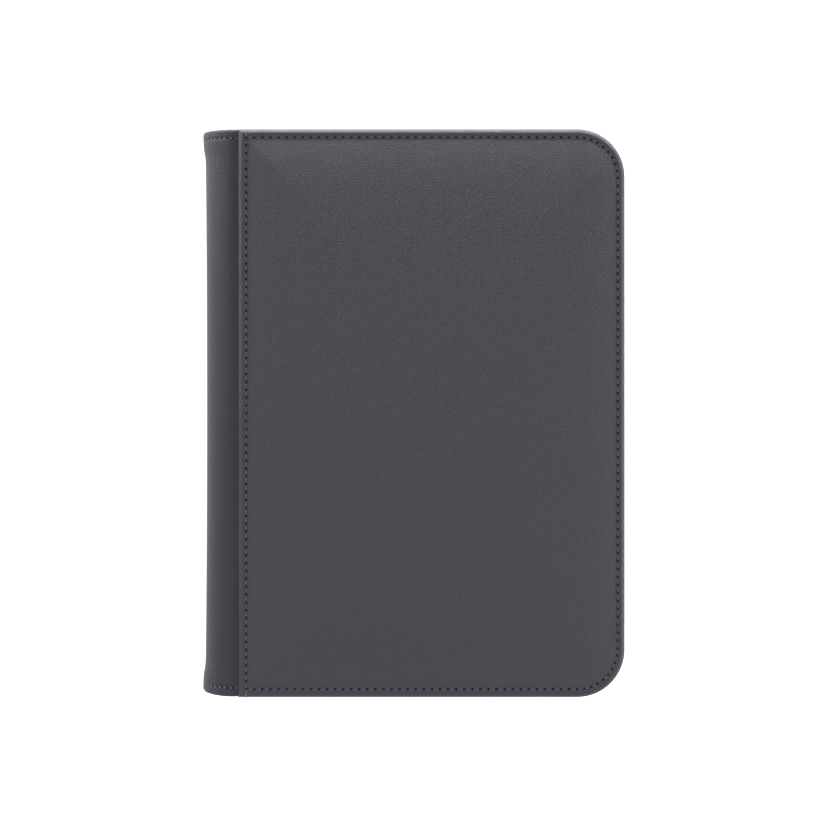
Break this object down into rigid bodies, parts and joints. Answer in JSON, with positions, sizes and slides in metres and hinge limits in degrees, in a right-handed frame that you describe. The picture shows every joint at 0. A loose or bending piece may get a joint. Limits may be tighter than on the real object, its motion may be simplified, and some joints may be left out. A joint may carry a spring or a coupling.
{
  "type": "trading card binder",
  "caption": "Zip-round binder for trading cards: padded cross-grain covers, half-round soft spine and side-loading pocket leaves.",
  "frame": {"origin": "under the middle of the binder, on the back cover's outer face", "axes": "+X from the spine to the opening edge, +Y to the binder's top, +Z through its thickness from back cover to front cover"},
  "size_m": [0.1876, 0.25, 0.037],
  "materials": {
    "leather": "dark grey cross-grain imitation leather",
    "foam": "soft open foam and felt",
    "board": "stiff grey board",
    "lining": "black woven lining",
    "thread": "dark grey bonded thread",
    "zip_tape": "woven tape",
    "zip_coil": "moulded coil",
    "zip_metal": "dark grey enamelled metal",
    "binding": "black imitation leather",
    "leaf": "clear film over a black sheet"
  },
  "bodies": {
    "back_cover": {"back_leather": "leather", "back_foam": "foam", "back_board": "board", "back_lining": "lining", "back_thread": "thread", "back_zip_tape": "zip_tape", "back_zip_coil": "zip_coil", "back_top_stop": "zip_metal", "bottom_stop": "zip_metal", "binding_strip": "binding", "binding_core": "binding"},
    "spine": {"spine_leather": "leather", "spine_felt": "foam", "spine_lining": "lining", "spine_thread": "thread"},
    "front_cover": {"front_leather": "leather", "front_foam": "foam", "front_board": "board", "front_lining": "lining", "front_thread": "thread", "front_zip_tape": "zip_tape", "front_zip_coil": "zip_coil", "front_top_stop": "zip_metal"},
    "slider": {"zip_slider": "zip_metal"},
    "pull": {"zip_pull": "zip_metal"},
    "leaf_01": {"leaf_01": "leaf"},
    "leaf_02": {"leaf_02": "leaf"},
    "leaf_03": {"leaf_03": "leaf"},
    "leaf_04": {"leaf_04": "leaf"},
    "leaf_05": {"leaf_05": "leaf"},
    "leaf_06": {"leaf_06": "leaf"},
    "leaf_07": {"leaf_07": "leaf"},
    "leaf_08": {"leaf_08": "leaf"},
    "leaf_09": {"leaf_09": "leaf"},
    "leaf_10": {"leaf_10": "leaf"},
    "leaf_11": {"leaf_11": "leaf"},
    "leaf_12": {"leaf_12": "leaf"},
    "leaf_13": {"leaf_13": "leaf"},
    "leaf_14": {"leaf_14": "leaf"},
    "leaf_15": {"leaf_15": "leaf"},
    "leaf_16": {"leaf_16": "leaf"},
    "leaf_17": {"leaf_17": "leaf"},
    "leaf_18": {"leaf_18": "leaf"},
    "leaf_19": {"leaf_19": "leaf"},
    "leaf_20": {"leaf_20": "leaf"}
  },
  "joints": [
    {"name": "spine_fold", "type": "hinge", "parent": "back_cover", "child": "spine", "pos_m": [-0.07465, 0, 0.0016], "axis": [0, -1, 0], "range_deg": [0, 90]},
    {"name": "cover_fold", "type": "hinge", "parent": "spine", "child": "front_cover", "pos_m": [-0.07465, 0, 0.0354], "axis": [0, -1, 0], "range_deg": [0, 90]},
    {"name": "zip_slide", "type": "slide", "parent": "back_cover", "child": "slider", "axis": [1, 0, 0], "range_m": [0, 0.125]},
    {"name": "pull_swing", "type": "hinge", "parent": "slider", "child": "pull", "pos_m": [-0.0592, -0.12305, 0.0185], "axis": [0, 0, -1], "range_deg": [0, 150]},
    {"name": "leaf_01_turn", "type": "hinge", "parent": "back_cover", "child": "leaf_01", "pos_m": [-0.07205, 0, 0.0185], "axis": [0, -1, 0], "range_deg": [0, 1.8]},
    {"name": "leaf_02_turn", "type": "hinge", "parent": "back_cover", "child": "leaf_02", "pos_m": [-0.07205, 0, 0.0185], "axis": [0, -1, 0], "range_deg": [0, 2.34]},
    {"name": "leaf_03_turn", "type": "hinge", "parent": "back_cover", "child": "leaf_03", "pos_m": [-0.07205, 0, 0.0185], "axis": [0, -1, 0], "range_deg": [0, 2.88]},
    {"name": "leaf_04_turn", "type": "hinge", "parent": "back_cover", "child": "leaf_04", "pos_m": [-0.07205, 0, 0.0185], "axis": [0, -1, 0], "range_deg": [0, 3.42]},
    {"name": "leaf_05_turn", "type": "hinge", "parent": "back_cover", "child": "leaf_05", "pos_m": [-0.07205, 0, 0.0185], "axis": [0, -1, 0], "range_deg": [0, 3.96]},
    {"name": "leaf_06_turn", "type": "hinge", "parent": "back_cover", "child": "leaf_06", "pos_m": [-0.07205, 0, 0.0185], "axis": [0, -1, 0], "range_deg": [0, 4.5]},
    {"name": "leaf_07_turn", "type": "hinge", "parent": "back_cover", "child": "leaf_07", "pos_m": [-0.07205, 0, 0.0185], "axis": [0, -1, 0], "range_deg": [0, 5.04]},
    {"name": "leaf_08_turn", "type": "hinge", "parent": "back_cover", "child": "leaf_08", "pos_m": [-0.07205, 0, 0.0185], "axis": [0, -1, 0], "range_deg": [0, 5.58]},
    {"name": "leaf_09_turn", "type": "hinge", "parent": "back_cover", "child": "leaf_09", "pos_m": [-0.07205, 0, 0.0185], "axis": [0, -1, 0], "range_deg": [0, 6.12]},
    {"name": "leaf_10_turn", "type": "hinge", "parent": "back_cover", "child": "leaf_10", "pos_m": [-0.07205, 0, 0.0185], "axis": [0, -1, 0], "range_deg": [0, 6.66]},
    {"name": "leaf_11_turn", "type": "hinge", "parent": "back_cover", "child": "leaf_11", "pos_m": [-0.07205, 0, 0.0185], "axis": [0, -1, 0], "range_deg": [0, 175.14]},
    {"name": "leaf_12_turn", "type": "hinge", "parent": "back_cover", "child": "leaf_12", "pos_m": [-0.07205, 0, 0.0185], "axis": [0, -1, 0], "range_deg": [0, 175.68]},
    {"name": "leaf_13_turn", "type": "hinge", "parent": "back_cover", "child": "leaf_13", "pos_m": [-0.07205, 0, 0.0185], "axis": [0, -1, 0], "range_deg": [0, 176.22]},
    {"name": "leaf_14_turn", "type": "hinge", "parent": "back_cover", "child": "leaf_14", "pos_m": [-0.07205, 0, 0.0185], "axis": [0, -1, 0], "range_deg": [0, 176.76]},
    {"name": "leaf_15_turn", "type": "hinge", "parent": "back_cover", "child": "leaf_15", "pos_m": [-0.07205, 0, 0.0185], "axis": [0, -1, 0], "range_deg": [0, 177.3]},
    {"name": "leaf_16_turn", "type": "hinge", "parent": "back_cover", "child": "leaf_16", "pos_m": [-0.07205, 0, 0.0185], "axis": [0, -1, 0], "range_deg": [0, 177.84]},
    {"name": "leaf_17_turn", "type": "hinge", "parent": "back_cover", "child": "leaf_17", "pos_m": [-0.07205, 0, 0.0185], "axis": [0, -1, 0], "range_deg": [0, 178.38]},
    {"name": "leaf_18_turn", "type": "hinge", "parent": "back_cover", "child": "leaf_18", "pos_m": [-0.07205, 0, 0.0185], "axis": [0, -1, 0], "range_deg": [0, 178.92]},
    {"name": "leaf_19_turn", "type": "hinge", "parent": "back_cover", "child": "leaf_19", "pos_m": [-0.07205, 0, 0.0185], "axis": [0, -1, 0], "range_deg": [0, 179.46]},
    {"name": "leaf_20_turn", "type": "hinge", "parent": "back_cover", "child": "leaf_20", "pos_m": [-0.07205, 0, 0.0185], "axis": [0, -1, 0], "range_deg": [0, 180]}
  ],
  "couplings": [
    {"joint": "spine_fold", "follows": "cover_fold", "ratio": 1},
    {"joint": "leaf_01_turn", "follows": "cover_fold", "ratio": 0.02},
    {"joint": "leaf_02_turn", "follows": "cover_fold", "ratio": 0.026},
    {"joint": "leaf_03_turn", "follows": "cover_fold", "ratio": 0.032},
    {"joint": "leaf_04_turn", "follows": "cover_fold", "ratio": 0.038},
    {"joint": "leaf_05_turn", "follows": "cover_fold", "ratio": 0.044},
    {"joint": "leaf_06_turn", "follows": "cover_fold", "ratio": 0.05},
    {"joint": "leaf_07_turn", "follows": "cover_fold", "ratio": 0.056},
    {"joint": "leaf_08_turn", "follows": "cover_fold", "ratio": 0.062},
    {"joint": "leaf_09_turn", "follows": "cover_fold", "ratio": 0.068},
    {"joint": "leaf_10_turn", "follows": "cover_fold", "ratio": 0.074},
    {"joint": "leaf_11_turn", "follows": "cover_fold", "ratio": 1.946},
    {"joint": "leaf_12_turn", "follows": "cover_fold", "ratio": 1.952},
    {"joint": "leaf_13_turn", "follows": "cover_fold", "ratio": 1.958},
    {"joint": "leaf_14_turn", "follows": "cover_fold", "ratio": 1.964},
    {"joint": "leaf_15_turn", "follows": "cover_fold", "ratio": 1.97},
    {"joint": "leaf_16_turn", "follows": "cover_fold", "ratio": 1.976},
    {"joint": "leaf_17_turn", "follows": "cover_fold", "ratio": 1.982},
    {"joint": "leaf_18_turn", "follows": "cover_fold", "ratio": 1.988},
    {"joint": "leaf_19_turn", "follows": "cover_fold", "ratio": 1.994},
    {"joint": "leaf_20_turn", "follows": "cover_fold", "ratio": 2}
  ]
}
